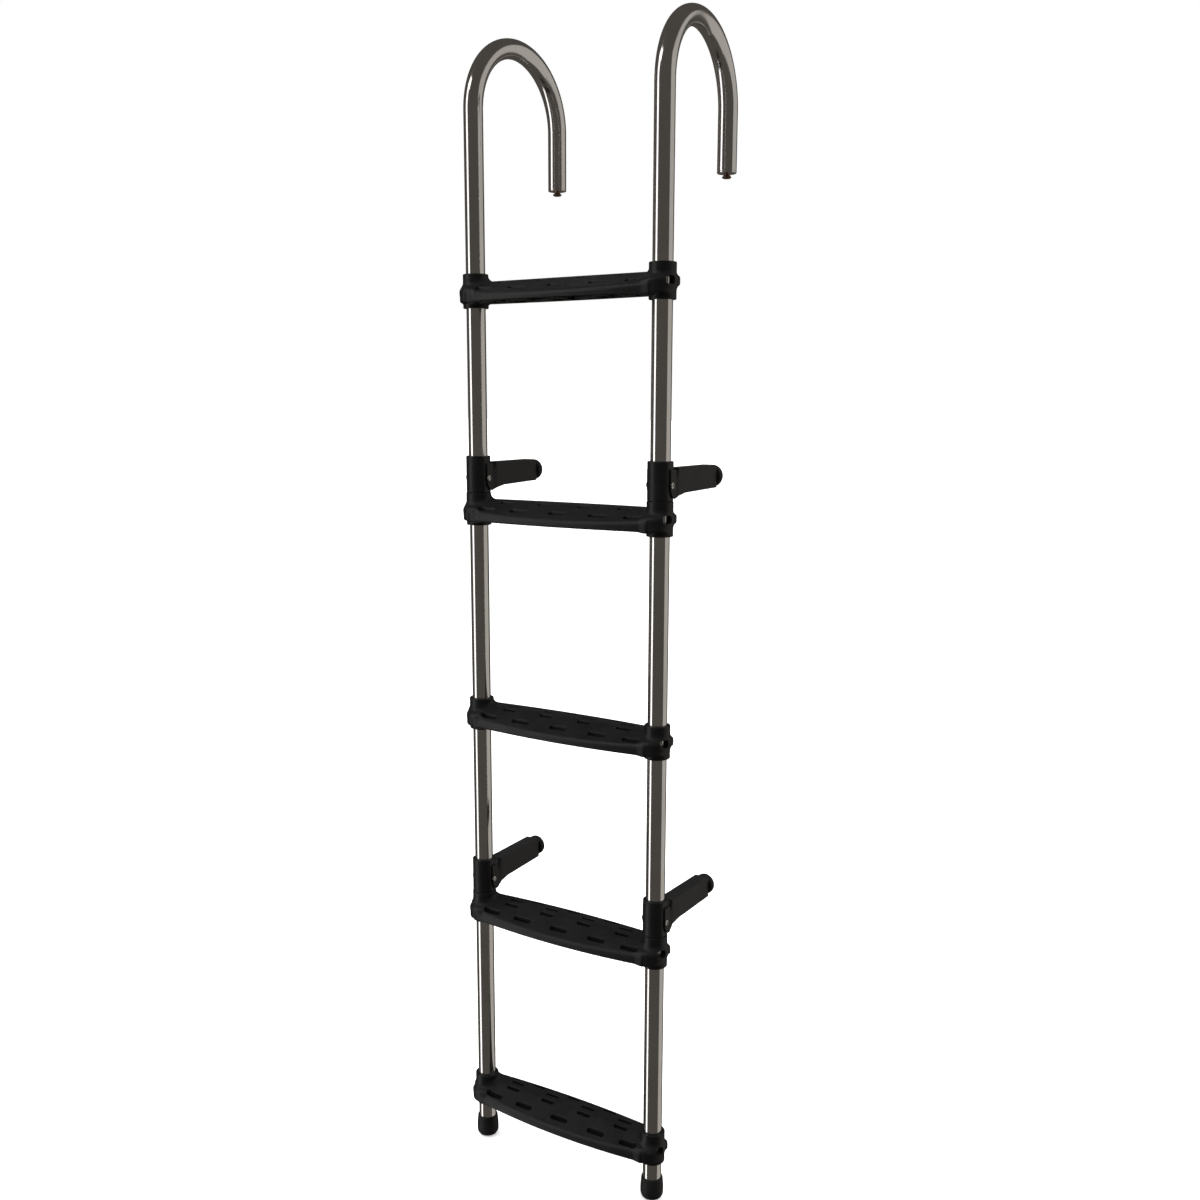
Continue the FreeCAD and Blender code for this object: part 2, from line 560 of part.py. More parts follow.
    # two pivot screws, screwed into the rail through the sleeve
    pair = []
    for m, way in (("in", -1), ("out", 1)):
        q = n + m
        h0 = S + "cheek_out/2 + 0.15"
        L = S + "cheek_out/2 - 10 + " + S + "pivot_head_tall"
        if way > 0:
            shank = cyl(q + "_shank", S + "pivot_dia/2", L, "10 mm", ZERO, ZERO, ROT_X)
            head = cyl(q + "_head", S + "pivot_head/2", S + "pivot_head_tall", h0, ZERO, ZERO, ROT_X)
            head = fillet(q + "_dome", head, [
                (lambda p, e: len(e.Vertexes) == 1 and p.x > V["cheek_out"] / 2 + 0.8, 0.8)])
        else:
            shank = cyl(q + "_shank", S + "pivot_dia/2", L, "-10 - (" + L + ")", ZERO, ZERO, ROT_X)
            head = cyl(q + "_head", S + "pivot_head/2", S + "pivot_head_tall",
                       "-(" + h0 + ") - " + S + "pivot_head_tall", ZERO, ZERO, ROT_X)
            head = fillet(q + "_dome", head, [
                (lambda p, e: len(e.Vertexes) == 1 and p.x < -V["cheek_out"] / 2 - 0.8, 0.8)])
        pair.append(fuse(q + "_screw", [shank, head]))
    g = doc.addObject("Part::Compound", n + "Pivots")
    g.Links = pair
    place(g, "pivot_screws_" + tag, sx, BACK, zp, turn)


for lev, i in STAND:
    for side, sign in SIDES:
        standoff(lev, i, side, sign)

# ----------------------------------------------------------- hook end, feet
OUTER = S + "hook_radius * " + TOE
for side, sign in SIDES:
    sx = ("-" if sign < 0 else "") + HALF
    ox = sx + " - (%d) * 2 * %shook_radius * sin(%shook_toe * 1 deg)" % (sign, S, S)
    bore = S + "rail_dia/2 - " + S + "rail_wall - " + S + "bore_play"
    end = S + "bend_height - " + S + "hook_leg"
    # plug: rim under the tube's end, spigot inside it
    plug = turned("Plug_" + side, [
        ("3.2", "-" + S + "plug_rim"), (S + "rail_dia/2 - 0.8", "-" + S + "plug_rim"),
        (S + "rail_dia/2", "-" + S + "plug_rim + 0.8"), (S + "rail_dia/2", "-0.05"),
        (bore, "-0.05"), (bore, S + "plug_long - 1.0"), (bore + " - 1.0", S + "plug_long"),
        ("3.2", S + "plug_long")])
    place(plug, "hook_end_plug_" + side, ox, OUTER, zrow(end))
    # stud screwed up into the plug, with a flared head below
    stud = turned("Stud_" + side, [
        ("0", "-8.6"), ("4.6", "-8.6"), (S + "stud_head/2", "-7.6"), (S + "stud_head/2", "-6.4"),
        ("4.4", "-4.6"), ("4.0", "-" + S + "plug_rim - 0.05"), ("3.15", "-" + S + "plug_rim - 0.05"),
        ("3.15", "12.0"), ("0", "12.0")])
    place(stud, "hook_end_stud_" + side, ox, OUTER, zrow(end))
    # rubber foot over the rail's lower end
    inner = S + "rail_dia/2 + " + S + "bore_play"
    foot = turned("Foot_" + side, [
        ("0", "0"), ("8.5", "0"), ("13.0", "1.6"), ("15.0", "5.2"), (S + "foot_dia/2", "10.0"),
        (S + "foot_dia/2 - 0.1", "17.0"), (S + "foot_lip_dia/2 + 0.5", S + "foot_tall - 4.0"),
        (S + "foot_lip_dia/2", S + "foot_tall - 0.6"), (S + "foot_lip_dia/2 - 0.5", S + "foot_tall"),
        (inner, S + "foot_tall"), (inner, S + "rail_base - 0.05"), ("0", S + "rail_base - 0.05")])
    place(foot, "foot_" + side, sx, BACK, "-" + S + "seat_height")

doc.recompute()

# -------------------------------------------------------------------- export
os.makedirs("parts", exist_ok=True)
bad = [o.Name for o in doc.Objects
       if "Invalid" in [str(x) for x in getattr(o, "State", [])]
       or "Error" in [str(x) for x in getattr(o, "State", [])]]
if bad:
    raise RuntimeError("invalid objects: %s" % bad)
for o in PARTS:
    shape = o.Shape
    if shape.isNull() or not shape.isValid() or len(shape.Solids) == 0:
        raise RuntimeError("bad shape: " + o.Label)
    shape.exportStep("parts/%s.step" % o.Label)
    b = shape.BoundBox
    print("%-32s solids %2d vol %10.0f  x %8.1f %8.1f  y %8.1f %8.1f  z %9.1f %9.1f" % (
        o.Label, len(shape.Solids), shape.Volume, b.XMin, b.XMax, b.YMin, b.YMax, b.ZMin, b.ZMax))
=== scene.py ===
import math

import bmesh
import bpy
import numpy as np
from mathutils import Matrix, Vector


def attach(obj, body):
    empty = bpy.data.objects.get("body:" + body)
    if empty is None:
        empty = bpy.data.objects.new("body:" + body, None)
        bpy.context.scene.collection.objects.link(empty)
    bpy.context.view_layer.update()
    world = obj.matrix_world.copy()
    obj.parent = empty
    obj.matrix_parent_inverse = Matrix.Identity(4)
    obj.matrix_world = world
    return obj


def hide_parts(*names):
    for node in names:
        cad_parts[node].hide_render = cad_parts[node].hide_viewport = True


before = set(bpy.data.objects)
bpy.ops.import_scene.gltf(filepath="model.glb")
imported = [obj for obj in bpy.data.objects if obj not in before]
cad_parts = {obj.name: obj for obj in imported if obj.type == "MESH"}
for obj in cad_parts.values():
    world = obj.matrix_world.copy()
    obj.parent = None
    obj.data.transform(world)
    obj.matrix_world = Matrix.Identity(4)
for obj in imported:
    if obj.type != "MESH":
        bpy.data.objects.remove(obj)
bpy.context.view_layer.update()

MM = 0.001
TOE = 2.5              # turn of each hook towards the other, degrees
HOOK_R = 89.5
BACK = -HOOK_R * math.cos(math.radians(TOE))   # the rails' plane, mm
BASE = -1494.5         # underside of the feet, mm
HALF = 138.0           # rail centre from the middle plane, mm
RAIL_R = 12.5
BEND = -77.0           # where the hook's bend starts, mm
LEG = 72.5
TREAD_Z = [BASE + 76.0 + 280.0 * (5 - i) for i in range(1, 6)]
SPLAY = 1.6
BOSS_TURN = 32.0
LEVELS = (("upper", 2), ("lower", 4))
SIDES = (("left", -1), ("right", 1))


# ------------------------------------------------------------------ meshes
def make_object(name, verts, faces, normals=None, smooth=True):
    mesh = bpy.data.meshes.new(name)
    mesh.from_pydata([tuple(v) for v in verts], [], [tuple(f) for f in faces])
    mesh.validate(clean_customdata=False)
    mesh.update()
    if smooth:
        mesh.polygons.foreach_set("use_smooth", [True] * len(mesh.polygons))
    if normals is not None and len(normals) == len(mesh.vertices):
        mesh.normals_split_custom_set_from_vertices([tuple(n) for n in normals])
    obj = bpy.data.objects.new(name, mesh)
    bpy.context.scene.collection.objects.link(obj)
    return obj


def copy_object(src, name, moved):
    """Own mesh for each piece, moved by a 4x4 matrix."""
    mesh = src.data.copy()
    mesh.name = name
    mesh.transform(moved)
    obj = bpy.data.objects.new(name, mesh)
    bpy.context.scene.collection.objects.link(obj)
    return obj


def rmax(a, b, r):
    """Intersection with a round edge of radius r."""
    if r <= 0:
        return np.maximum(a, b)
    u = np.maximum(a + r, 0.0)
    v = np.maximum(b + r, 0.0)
    return np.minimum(np.maximum(a, b), -r) + np.sqrt(u * u + v * v)


def rmin(a, b, r):
    """Union with a fillet of radius r."""
    u = np.maximum(r - a, 0.0)
    v = np.maximum(r - b, 0.0)
    return np.maximum(np.minimum(a, b), r) - np.sqrt(u * u + v * v)


def surface_nets(field, lo, hi, step):
    """Closed quad mesh of field == 0, pulled onto the exact surface."""
    axes = [np.arange(lo[k], hi[k] + step, step) for k in range(3)]
    nx, ny, nz = (len(a) for a in axes)
    val = np.empty((nx, ny, nz), dtype=np.float32)
    chunk = max(1, int(1.5e6 // (ny * nz)))
    for i in range(0, nx, chunk):
        X, Y, Z = np.meshgrid(axes[0][i:i + chunk], axes[1], axes[2], indexing="ij")
        val[i:i + chunk] = field(X, Y, Z)
    inside = val < 0
    c = [inside[dx:nx - 1 + dx, dy:ny - 1 + dy, dz:nz - 1 + dz]
         for dx in (0, 1) for dy in (0, 1) for dz in (0, 1)]
    total = sum(x.astype(np.int8) for x in c)
    cells = np.argwhere((total > 0) & (total < 8))
    index = -np.ones((nx - 1, ny - 1, nz - 1), dtype=np.int64)
    index[cells[:, 0], cells[:, 1], cells[:, 2]] = np.arange(len(cells))
    acc = np.zeros((len(cells), 3))
    cnt = np.zeros(len(cells))
    corners = [(dx, dy, dz) for dx in (0, 1) for dy in (0, 1) for dz in (0, 1)]
    for a in corners:
        for k in range(3):
            if a[k] == 1:
                continue
            b = list(a)
            b[k] = 1
            va = val[cells[:, 0] + a[0], cells[:, 1] + a[1], cells[:, 2] + a[2]]
            vb = val[cells[:, 0] + b[0], cells[:, 1] + b[1], cells[:, 2] + b[2]]
            hit = (va < 0) != (vb < 0)
            t = np.where(hit, va / np.where(hit, va - vb, 1.0), 0.0)
            p = np.array(a, dtype=float)[None, :].repeat(len(cells), 0)
            p[:, k] += t
            acc[hit] += p[hit]
            cnt[hit] += 1
    pts = np.array(lo)[None, :] + (cells + acc / cnt[:, None]) * step

    def at(p):
        return field(p[:, 0], p[:, 1], p[:, 2])

    def gradient(p, h):
        g = np.empty_like(p)
        for k in range(3):
            q = p.copy()
            q[:, k] += h
            s = p.copy()
            s[:, k] -= h
            g[:, k] = (at(q) - at(s)) / (2 * h)
        return g

    start = pts.copy()
    for _ in range(4):
        f = at(pts)
        g = gradient(pts, 0.05)
        move = -(f / np.maximum((g * g).sum(1), 0.2))[:, None] * g
        size = np.linalg.norm(move, axis=1)
        move *= np.minimum(1.0, 0.3 * step / np.maximum(size, 1e-9))[:, None]
        pts = pts + move
        away = pts - start
        far = np.linalg.norm(away, axis=1)
        pts = start + away * np.minimum(1.0, 0.8 * step / np.maximum(far, 1e-9))[:, None]
    normals = gradient(pts, 0.12)
    normals /= np.maximum(np.linalg.norm(normals, axis=1), 1e-9)[:, None]
    quads = []
    for k in range(3):
        o = [m for m in range(3) if m != k]
        a_in = inside
        s0 = [slice(0, n) for n in (nx, ny, nz)]
        s1 = list(s0)
        s0[k] = slice(0, (nx, ny, nz)[k] - 1)
        s1[k] = slice(1, (nx, ny, nz)[k])
        first, second = a_in[tuple(s0)], a_in[tuple(s1)]
        edges = np.argwhere(first != second)
        limit = [nx - 1, ny - 1, nz - 1]
        ok = (edges[:, o[0]] > 0) & (edges[:, o[1]] > 0) & \
             (edges[:, o[0]] < limit[o[0]]) & (edges[:, o[1]] < limit[o[1]])
        edges = edges[ok]
        flip = ~first[edges[:, 0], edges[:, 1], edges[:, 2]]
        ring = []
        for da, db in ((-1, -1), (0, -1), (0, 0), (-1, 0)):
            e = edges.copy()
            e[:, o[0]] += da
            e[:, o[1]] += db
            ring.append(index[e[:, 0], e[:, 1], e[:, 2]])
        q = np.stack(ring, 1)
        if k == 1:
            flip = ~flip
        q[flip] = q[flip][:, ::-1]
        quads.append(q)
    return pts, np.concatenate(quads), normals


def sdf_object(name, field, lo, hi, step):
    pts, quads, normals = surface_nets(field, lo, hi, step)
    return make_object(name, pts * MM, quads, normals)


def lathe(name, profile, segments=72, origin=(0, 0, 0), turn=None):
    """Closed body of revolution about Z from (radius, height) pairs in mm,
    running from the axis (or an open ring) up the outside."""
    verts, faces = [], []
    rings = []
    for r, z in profile:
        if r < 1e-6:
            rings.append([len(verts)])
            verts.append((0.0, 0.0, z))
        else:
            ring = []
            for k in range(segments):
                a = 2 * math.pi * k / segments
                ring.append(len(verts))
                verts.append((r * math.cos(a), r * math.sin(a), z))
            rings.append(ring)
    for a, b in zip(rings[:-1], rings[1:]):
        for k in range(segments):
            n = (k + 1) % segments
            if len(a) == 1 and len(b) == 1:
                continue
            if len(a) == 1:
                faces.append((a[0], b[n], b[k]))
            elif len(b) == 1:
                faces.append((a[k], a[n], b[0]))
            else:
                faces.append((a[k], a[n], b[n], b[k]))
    v = np.array(verts)
    if turn is not None:
        v = v @ np.array(turn.to_3x3()).T
    v = (v + np.array(origin)) * MM
    return make_object(name, v, faces)


def rounded(points, steps=6):
    """Turn (radius, height, corner radius) corners into a smooth outline."""
    out = []
    n = len(points)
    for i, p in enumerate(points):
        x, y = p[0], p[1]
        r = p[2] if len(p) > 2 else 0.0
        if r <= 0 or i in (0, n - 1):
            out.append((x, y))
            continue
        a = Vector((points[i - 1][0] - x, points[i - 1][1] - y))
        b = Vector((points[i + 1][0] - x, points[i + 1][1] - y))
        la, lb = a.length, b.length
        a.normalize()
        b.normalize()
        ang = math.acos(max(-1.0, min(1.0, a.dot(b))))
        if ang > math.pi - 1e-3:
            out.append((x, y))
            continue
        d = min(r / math.tan(ang / 2), la * 0.49, lb * 0.49)
        r = d * math.tan(ang / 2)
        bis = (a + b).normalized()
        c = Vector((x, y)) + bis * (r / math.sin(ang / 2))
        p0 = Vector((x, y)) + a * d
        p1 = Vector((x, y)) + b * d
        a0 = math.atan2(p0.y - c.y, p0.x - c.x)
        a1 = math.atan2(p1.y - c.y, p1.x - c.x)
        while a1 - a0 > math.pi:
            a1 -= 2 * math.pi
        while a1 - a0 < -math.pi:
            a1 += 2 * math.pi
        for k in range(steps + 1):
            t = a0 + (a1 - a0) * k / steps
            out.append((c.x + r * math.cos(t), c.y + r * math.sin(t)))
    # extra rings keep the flat stretches flat under smooth shading
    dense = [out[0]]
    for a, b in zip(out[:-1], out[1:]):
        gap = math.hypot(b[0] - a[0], b[1] - a[1])
        if gap > 1.2:
            for t in (0.25 / gap, 1 - 0.25 / gap):
                dense.append((a[0] + (b[0] - a[0]) * t, a[1] + (b[1] - a[1]) * t))
        if gap > 1e-6:
            dense.append(b)
    return dense


def joined(name, objs):
    """One object from several, each with its own mesh."""
    bm = bmesh.new()
    for o in objs:
        bm.from_mesh(o.data)
    mesh = bpy.data.meshes.new(name)
    bm.to_mesh(mesh)
    bm.free()
    for o in objs:
        old = o.data
        bpy.data.objects.remove(o)
        bpy.data.meshes.remove(old)
    obj = bpy.data.objects.new(name, mesh)
    bpy.context.scene.collection.objects.link(obj)
    return obj


# --------------------------------------------------------------- materials
def new_material(name):
    m = bpy.data.materials.new(name)
    m.use_nodes = True
    nt = m.node_tree
    for n in list(nt.nodes):
        nt.nodes.remove(n)
    out = nt.nodes.new("ShaderNodeOutputMaterial")
    bsdf = nt.nodes.new("ShaderNodeBsdfPrincipled")
    nt.links.new(bsdf.outputs[0], out.inputs[0])
    return m, nt, bsdf


def coords(nt, scale):
    tc = nt.nodes.new("ShaderNodeTexCoord")
    mp = nt.nodes.new("ShaderNodeMapping")
    mp.inputs["Scale"].default_value = scale
    nt.links.new(tc.outputs["Object"], mp.inputs["Vector"])
    return mp.outputs["Vector"]


def noise(nt, vec, scale, detail=3.0, rough=0.5):
    n = nt.nodes.new("ShaderNodeTexNoise")
    n.inputs["Scale"].default_value = scale
    n.inputs["Detail"].default_value = detail
    n.inputs["Roughness"].default_value = rough
    nt.links.new(vec, n.inputs["Vector"])
    return n.outputs["Fac"]


def ramp(nt, fac, stops, interp="LINEAR"):
    r = nt.nodes.new("ShaderNodeValToRGB")
    r.color_ramp.interpolation = interp
    els = r.color_ramp.elements
    while len(els) > 1:
        els.remove(els[-1])
    els[0].position = stops[0][0]
    els[0].color = tuple(stops[0][1]) + (1.0,)
    for pos, col in stops[1:]:
        e = els.new(pos)
        e.color = tuple(col) + (1.0,)
    nt.links.new(fac, r.inputs["Fac"])
    return r.outputs["Color"]


def remap(nt, value, a, b, c, d):
    n = nt.nodes.new("ShaderNodeMapRange")
    n.inputs["From Min"].default_value = a
    n.inputs["From Max"].default_value = b
    n.inputs["To Min"].default_value = c
    n.inputs["To Max"].default_value = d
    nt.links.new(value, n.inputs["Value"])
    return n.outputs["Result"]


def math_node(nt, op, a, b=None):
    n = nt.nodes.new("ShaderNodeMath")
    n.operation = op
    for k, v in enumerate((a, b)):
        if v is None:
            continue
        if isinstance(v, (int, float)):
            n.inputs[k].default_value = v
        else:
            nt.links.new(v, n.inputs[k])
    return n.outputs[0]


def bump(nt, height, strength, distance, normal=None):
    b = nt.nodes.new("ShaderNodeBump")
    b.inputs["Strength"].default_value = strength
    b.inputs["Distance"].default_value = distance
    nt.links.new(height, b.inputs["Height"])
    if normal is not None:
        nt.links.new(normal, b.inputs["Normal"])
    return b.outputs["Normal"]


def grey(v, tint=(1.0, 1.0, 1.0)):
    return tuple(v * t for t in tint)


def plastic(name, dark, light, rough_lo, rough_hi, grain=1.0):
    """Moulded black plastic: fine spark grain, faint flow clouds, rubbed
    and slightly chalky high edges."""
    m, nt, bsdf = new_material(name)
    vec = coords(nt, (1, 1, 1))
    cloud = noise(nt, vec, 38.0, 4.0, 0.6)
    fine = noise(nt, vec, 1500.0, 2.0, 0.5)
    mid = noise(nt, vec, 420.0, 3.0, 0.55)
    col = ramp(nt, cloud, [(0.25, dark), (0.75, light)])
    geo = nt.nodes.new("ShaderNodeNewGeometry")
    edge = remap(nt, geo.outputs["Pointiness"], 0.53, 0.62, 0.0, 1.0)
    worn = math_node(nt, "MULTIPLY", edge, remap(nt, mid, 0.35, 0.7, 0.1, 0.75))
    mix = nt.nodes.new("ShaderNodeMix")
    mix.data_type = "RGBA"
    nt.links.new(worn, mix.inputs["Factor"])
    nt.links.new(col, mix.inputs[6])
    mix.inputs[7].default_value = tuple(min(1.0, c * 2.2) for c in light) + (1.0,)
    nt.links.new(mix.outputs[2], bsdf.inputs["Base Color"])
    rough = remap(nt, cloud, 0.3, 0.7, rough_lo, rough_hi)
    nt.links.new(rough, bsdf.inputs["Roughness"])
    n1 = bump(nt, mid, 0.10 * grain, 0.0003)
    n2 = bump(nt, fine, 0.22 * grain, 0.00008, n1)
    nt.links.new(n2, bsdf.inputs["Normal"])
    bsdf.inputs["Specular IOR Level"].default_value = 0.4
    return m


def rubber(name):
    m, nt, bsdf = new_material(name)
    vec = coords(nt, (1, 1, 1))
    cloud = noise(nt, vec, 60.0, 4.0, 0.6)
    fine = noise(nt, vec, 900.0, 3.0, 0.6)
    col = ramp(nt, cloud, [(0.3, (0.006, 0.006, 0.0063)), (0.72, (0.011, 0.011, 0.0115))])
    nt.links.new(col, bsdf.inputs["Base Color"])
    nt.links.new(remap(nt, cloud, 0.3, 0.7, 0.52, 0.66), bsdf.inputs["Roughness"])
    nt.links.new(bump(nt, fine, 0.3, 0.00012), bsdf.inputs["Normal"])
    bsdf.inputs["Specular IOR Level"].default_value = 0.4
    return m


def polished(name):
    """Polished stainless tube: lengthwise polishing lines, faint smears,
    and a satin zone where the tube was bent."""
    m, nt, bsdf = new_material(name)
    vec = coords(nt, (1, 1, 1))
    long_ = coords(nt, (1, 1, 0.012))
    lines = noise(nt, long_, 2600.0, 2.0, 0.6)
    smear = noise(nt, vec, 26.0, 3.0, 0.55)
    tiny = noise(nt, vec, 420.0, 4.0, 0.7)
    col = ramp(nt, smear, [(0.3, (0.80, 0.785, 0.765)), (0.7, (0.87, 0.862, 0.85))])
    nt.links.new(col, bsdf.inputs["Base Color"])
    bsdf.inputs["Metallic"].default_value = 1.0
    tc = nt.nodes.new("ShaderNodeTexCoord")
    sep = nt.nodes.new("ShaderNodeSeparateXYZ")
    nt.links.new(tc.outputs["Object"], sep.inputs[0])
    bend = remap(nt, sep.outputs["Z"], BEND * MM - 0.012, BEND * MM + 0.05, 0.0, 0.05)
    base = remap(nt, smear, 0.25, 0.75, 0.085, 0.12)
    fleck = remap(nt, tiny, 0.3, 0.8, -0.005, 0.01)
    rough = math_node(nt, "ADD", math_node(nt, "ADD", base, bend), fleck)
    nt.links.new(rough, bsdf.inputs["Roughness"])
    nt.links.new(bump(nt, lines, 0.02, 0.00002, bump(nt, smear, 0.02, 0.0004)), bsdf.inputs["Normal"])
    return m


def fastener(name, dark, light, rough):
    m, nt, bsdf = new_material(name)
    vec = coords(nt, (1, 1, 1))
    fine = noise(nt, vec, 700.0, 4.0, 0.7)
    col = ramp(nt, fine, [(0.3, dark), (0.7, light)])
    nt.links.new(col, bsdf.inputs["Base Color"])
    bsdf.inputs["Metallic"].default_value = 1.0
    nt.links.new(remap(nt, fine, 0.3, 0.7, rough - 0.06, rough + 0.1), bsdf.inputs["Roughness"])
    nt.links.new(bump(nt, fine, 0.12, 0.00005), bsdf.inputs["Normal"])
    return m


MAT = {
    "stainless_tube": polished("mat_stainless_tube"),
    "stainless_fastener": fastener("mat_stainless_fastener", (0.52, 0.51, 0.50), (0.74, 0.73, 0.71), 0.24),
    "bronze_stud": fastener("mat_bronze_stud", (0.16, 0.10, 0.07), (0.34, 0.25, 0.19), 0.38),
    "black_plastic": plastic("mat_black_plastic", (0.0045, 0.0045, 0.005), (0.007, 0.007, 0.0075), 0.38, 0.48),
    "grey_black_plastic": plastic("mat_arm_plastic", (0.007, 0.007, 0.0075), (0.0105, 0.0105, 0.011), 0.42, 0.52),
    "black_rubber": rubber("mat_black_rubber"),
}


def dress(obj, slot, body, *nodes):
    obj.data.materials.clear()
    obj.data.materials.append(MAT[slot])
    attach(obj, body)
    if nodes:
        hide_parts(*nodes)
    return obj


# ------------------------------------------------------------------- rails
def rail_mesh(side, sign):
    """Bent tube with rolled ends, swept along the hook line."""
    seg = 96
    line = []                                  # (y, z, direction angle)
    low = BASE + 5.0
    for k in range(41):
        line.append((0.0, low + (BEND - low) * k / 40.0, 0.0))
    for k in range(1, 97):
        a = math.pi * k / 96.0
        line.append((HOOK_R - HOOK_R * math.cos(a), BEND + HOOK_R * math.sin(a), a))
    for k in range(1, 7):
        line.append((2.0 * HOOK_R, BEND - LEG * k / 6.0, math.pi))
    ct, st = math.cos(math.radians(sign * TOE)), math.sin(math.radians(sign * TOE))
    verts, normals, faces = [], [], []

    def ring(y, z, a, r, axial):
        """axial: share of the normal that points along the tube."""
        ids = []
        for k in range(seg):
            t = 2 * math.pi * k / seg
            cx, cn = math.cos(t), math.sin(t)
            ny, nz = -math.cos(a) * cn, math.sin(a) * cn
            ty, tz = math.sin(a), math.cos(a)
            ids.append(len(verts))
            lx, ly = r * cx, y + r * ny
            verts.append(((sign * HALF + lx * ct - ly * st) * MM, (BACK + lx * st + ly * ct) * MM, (z + r * nz) * MM))
            s = math.sqrt(max(0.0, 1 - axial * axial))
            px, py = cx * s, ny * s + ty * axial
            normals.append((px * ct - py * st, px * st + py * ct, nz * s + tz * axial))
        return ids

    rings = []
    y0, z0, a0 = line[0]
    rings.append(ring(y0, z0, a0, RAIL_R - 1.5, -1.0))
    rings.append(ring(y0, z0, a0, RAIL_R - 0.3, -1.0))
    rings.append(ring(y0, z0 + 0.3, a0, RAIL_R, 0.0))
    for y, z, a in line[1:-1]:
        rings.append(ring(y, z, a, RAIL_R, 0.0))
    y1, z1, a1 = line[-1]
    for lift, r, ax in ((0.45, RAIL_R, 0.0), (0.18, RAIL_R - 0.08, 0.5), (0.0, RAIL_R - 0.4, 0.95), (0.0, RAIL_R - 1.5, 1.0)):
        rings.append(ring(y1, z1 + lift, a1, r, ax))
    rings.append(ring(y1, z1 + 10.0, a1, RAIL_R - 1.5, 0.0))
    for a, b in zip(rings[:-1], rings[1:]):
        for k in range(seg):
            n = (k + 1) % seg
            faces.append((a[k], b[k], b[n], a[n]))
    faces.append(tuple(rings[0]))
    faces.append(tuple(reversed(rings[-1])))
    obj = make_object("tube_" + side, verts, faces)
    bm = bmesh.new()
    bm.from_mesh(obj.data)
    bmesh.ops.recalc_face_normals(bm, faces=bm.faces)
    bm.to_mesh(obj.data)
    bm.free()
    fixed = np.array(normals)
    # the last ring is the bore, which faces the axis
    fixed[rings[-1]] *= -1.0
    obj.data.normals_split_custom_set_from_vertices([tuple(n) for n in fixed])
    dress(obj, "stainless_tube", "frame", side + "_rail")
    return obj


for side, sign in SIDES:
    rail_mesh(side, sign)

# ------------------------------------------------------------------ treads
SLOPE = math.radians(27.1)
SLOTS = []
for y, xs, ln, wd in ((19.0, (0, 59.7), 21.0, 4.0),
                      (9.7, (29.85, 89.55), 21.0, 5.0),
                      (-2.5, (29.85, 89.55), 21.0, 4.5),
                      (-19.0, (0, 59.7, 111), 27.0, 6.5)):
    for x in xs:
        SLOTS.append((x, y, ln, wd))


def tread_field(X, Y, Z):
    ax = np.abs(X)
    front = np.hypot(ax, Y - 925.5) - 960.0
    back = np.hypot(ax, Y + 1445.0) - 1470.0
    flat = Z - 12.2
    slope = (Z - 12.2) * math.cos(SLOPE) - (Y - 2.0) * math.sin(SLOPE)
    low = -15.4 - Z
    ends = ax - 133.0
    body = rmax(rmax(flat, slope, 1.7), front, 4.6)
    body = rmax(body, low, 3.5)
    body = rmax(body, back, 2.5)
    body = rmax(body, ends, 1.0)
    rc = np.hypot(ax - HALF, Y)
    nose = rmax(np.hypot(ax - 135.0, Y + 5.8) - 19.5, Z - 3.5, 5.0)
    nose = rmax(nose, low, 3.0)
    body = rmin(body, nose, 5.0)
    collar = rmax(rc - 16.5, np.abs(Z) - 21.5, 1.0)
    blend = 2.0 + 6.0 * np.clip((Z + 14.0) / 10.0, 0.0, 1.0)
    d = rmin(body, collar, blend)
    # boss for the fixing screw
    ca, sa = math.cos(math.radians(BOSS_TURN)), math.sin(math.radians(BOSS_TURN))
    t = (ax - HALF) * ca + Y * sa
    w = -(ax - HALF) * sa + Y * ca
    s = np.hypot(w, Z)
    cone = (s - (8.9 - (t - 15.4) * 0.86)) * 0.76
    boss = rmax(rmax(cone, t - 20.8, 1.3), 12.0 - t, 0.2)
    d = rmin(d, boss, 1.6)
    seat = rmax(s - 3.6, 18.3 - t, 0.2)
    d = rmax(d, -seat, 0.35)
    # sight window
    cb, sb = math.cos(math.radians(-32.0)), math.sin(math.radians(-32.0))
    t2 = (ax - HALF) * cb + Y * sb
    w2 = -(ax - HALF) * sb + Y * cb
    qx = np.abs(w2) - (6.5 - 3.0)
    qz = np.abs(Z) - (4.75 - 3.0)
    win = np.hypot(np.maximum(qx, 0), np.maximum(qz, 0)) + np.minimum(np.maximum(qx, qz), 0) - 3.0
    win = np.maximum(win, 8.0 - t2)
    d = rmax(d, -win, 0.6)
    # underside cells
    slots = np.full(np.shape(X), 1e3)
    for x, y, ln, wd in SLOTS:
        q = np.maximum(np.abs(ax - x) - (ln - wd) / 2.0, 0.0)
        slots = np.minimum(slots, np.hypot(q, Y - y) - wd / 2.0)
    lid = np.maximum(flat + 3.0, slope + 3.34)
    cell = rmax(rmax(front + 3.0, back + 3.0, 2.0), lid, 2.0)
    cell = rmax(cell, ax - 113.0, 2.0)
    rib = np.minimum(np.minimum(np.abs(ax), np.abs(ax - 44.775)), np.abs(ax - 89.55)) - 1.25
    cell = rmax(cell, -np.minimum(rib, slots - 2.0), 0.8)
    d = rmax(d, -cell, 0.4)
    # drain slots, walled down through the cells
    d = rmax(d, -slots, 0.7)
    d = rmax(d, 12.55 - rc, 0.35)
    return d


